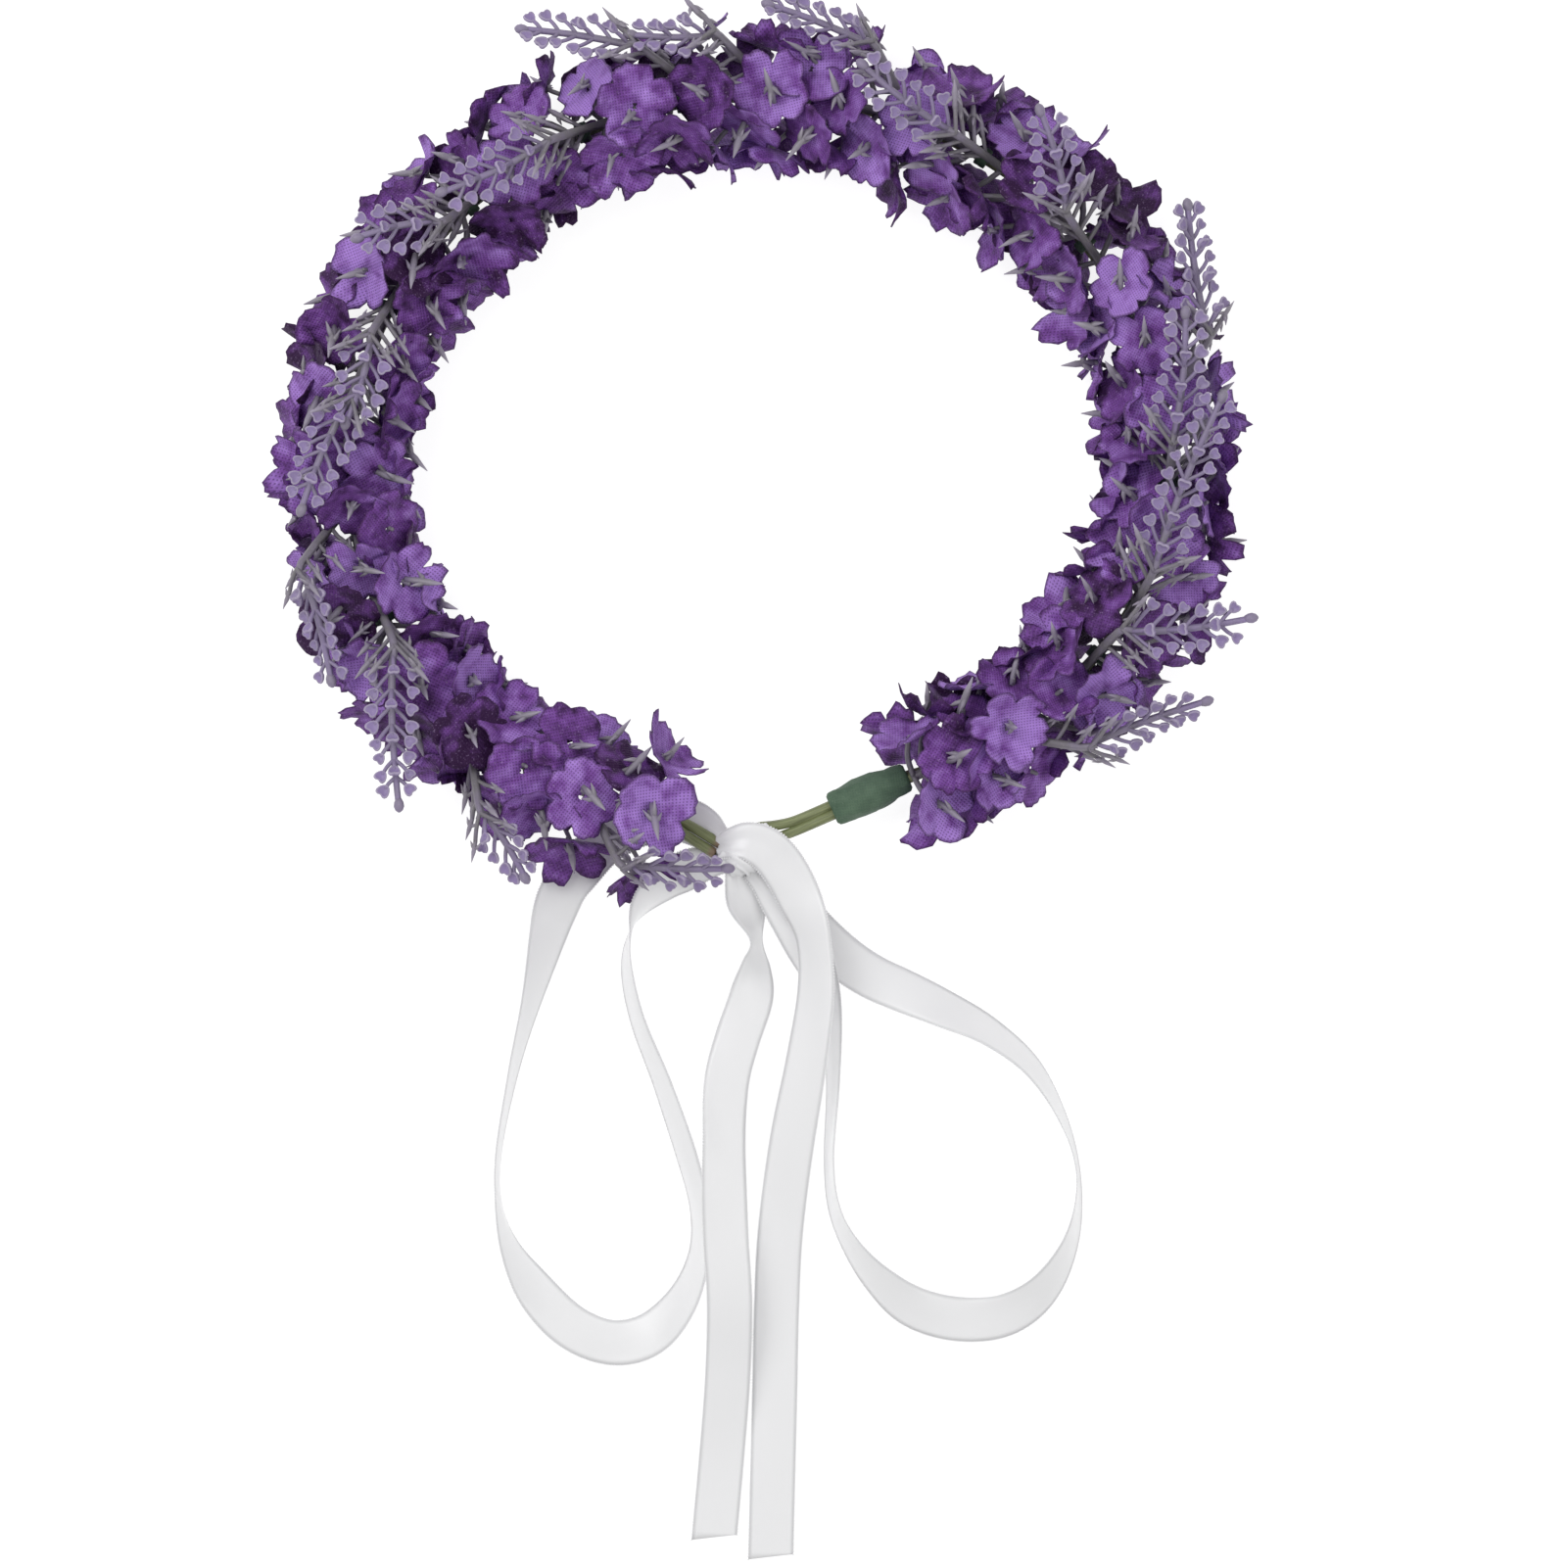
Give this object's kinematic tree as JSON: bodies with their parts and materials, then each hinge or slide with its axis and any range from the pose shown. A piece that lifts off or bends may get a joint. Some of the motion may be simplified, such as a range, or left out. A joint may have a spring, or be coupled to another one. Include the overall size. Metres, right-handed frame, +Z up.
{
  "type": "flower crown",
  "caption": "Artificial lavender flower crown: a coated wire ring bound with sprigs of purple fabric florets, closed at the back by a white satin ribbon bow.",
  "frame": {"origin": "middle of the head opening, on the surface that the crown lies on", "axes": "the ring lies in the XY plane, +Z up from the surface, +Y towards the front of the crown, the ribbon bow at -Y"},
  "size_m": [0.2488, 0.3993, 0.0442],
  "materials": {
    "coated_wire": "olive green wire coating with fine lengthwise seams",
    "floral_tape": "crinkled dark green waxed floral tape",
    "moulded_sprig": "soft moulded plastic, grey-green stems with lilac-sprayed buds",
    "floret_fabric": "stiffened woven purple fabric with frayed edges",
    "satin_ribbon": "white single-face satin with fine picot selvedges"
  },
  "bodies": {
    "crown": {"ring_wire": "coated_wire", "floral_tape": "floral_tape", "stem_bindings": "floral_tape", "ribbon_knot": "satin_ribbon", "ribbon_tie_left": "satin_ribbon", "ribbon_tie_right": "satin_ribbon", "left_loop_root": "satin_ribbon", "right_loop_root": "satin_ribbon", "lavender_sprig_01": "moulded_sprig", "lavender_sprig_02": "moulded_sprig", "lavender_sprig_03": "moulded_sprig", "lavender_sprig_04": "moulded_sprig", "lavender_sprig_05": "moulded_sprig", "lavender_sprig_06": "moulded_sprig", "lavender_sprig_07": "moulded_sprig", "lavender_sprig_08": "moulded_sprig", "lavender_sprig_09": "moulded_sprig", "lavender_sprig_10": "moulded_sprig", "lavender_sprig_11": "moulded_sprig", "lavender_sprig_12": "moulded_sprig", "lavender_sprig_13": "moulded_sprig", "lavender_sprig_14": "moulded_sprig", "lavender_sprig_15": "moulded_sprig", "lavender_sprig_16": "moulded_sprig", "lavender_sprig_17": "moulded_sprig", "lavender_sprig_18": "moulded_sprig", "fabric_florets_01": "floret_fabric", "fabric_florets_02": "floret_fabric", "fabric_florets_03": "floret_fabric", "fabric_florets_04": "floret_fabric", "fabric_florets_05": "floret_fabric", "fabric_florets_06": "floret_fabric", "fabric_florets_07": "floret_fabric", "fabric_florets_08": "floret_fabric", "fabric_florets_09": "floret_fabric", "fabric_florets_10": "floret_fabric", "fabric_florets_11": "floret_fabric", "fabric_florets_12": "floret_fabric", "fabric_florets_13": "floret_fabric", "fabric_florets_14": "floret_fabric", "fabric_florets_15": "floret_fabric", "fabric_florets_16": "floret_fabric", "fabric_florets_17": "floret_fabric", "fabric_florets_18": "floret_fabric"},
    "bow": {"left_loop": "satin_ribbon", "right_loop": "satin_ribbon", "left_tail": "satin_ribbon", "right_tail": "satin_ribbon"}
  },
  "joints": [
    {"name": "bow_swing", "type": "hinge", "parent": "crown", "child": "bow", "pos_m": [-0.005, -0.1055, 0.007], "axis": [1, 0, 0], "range_deg": [-70, 90]}
  ]
}
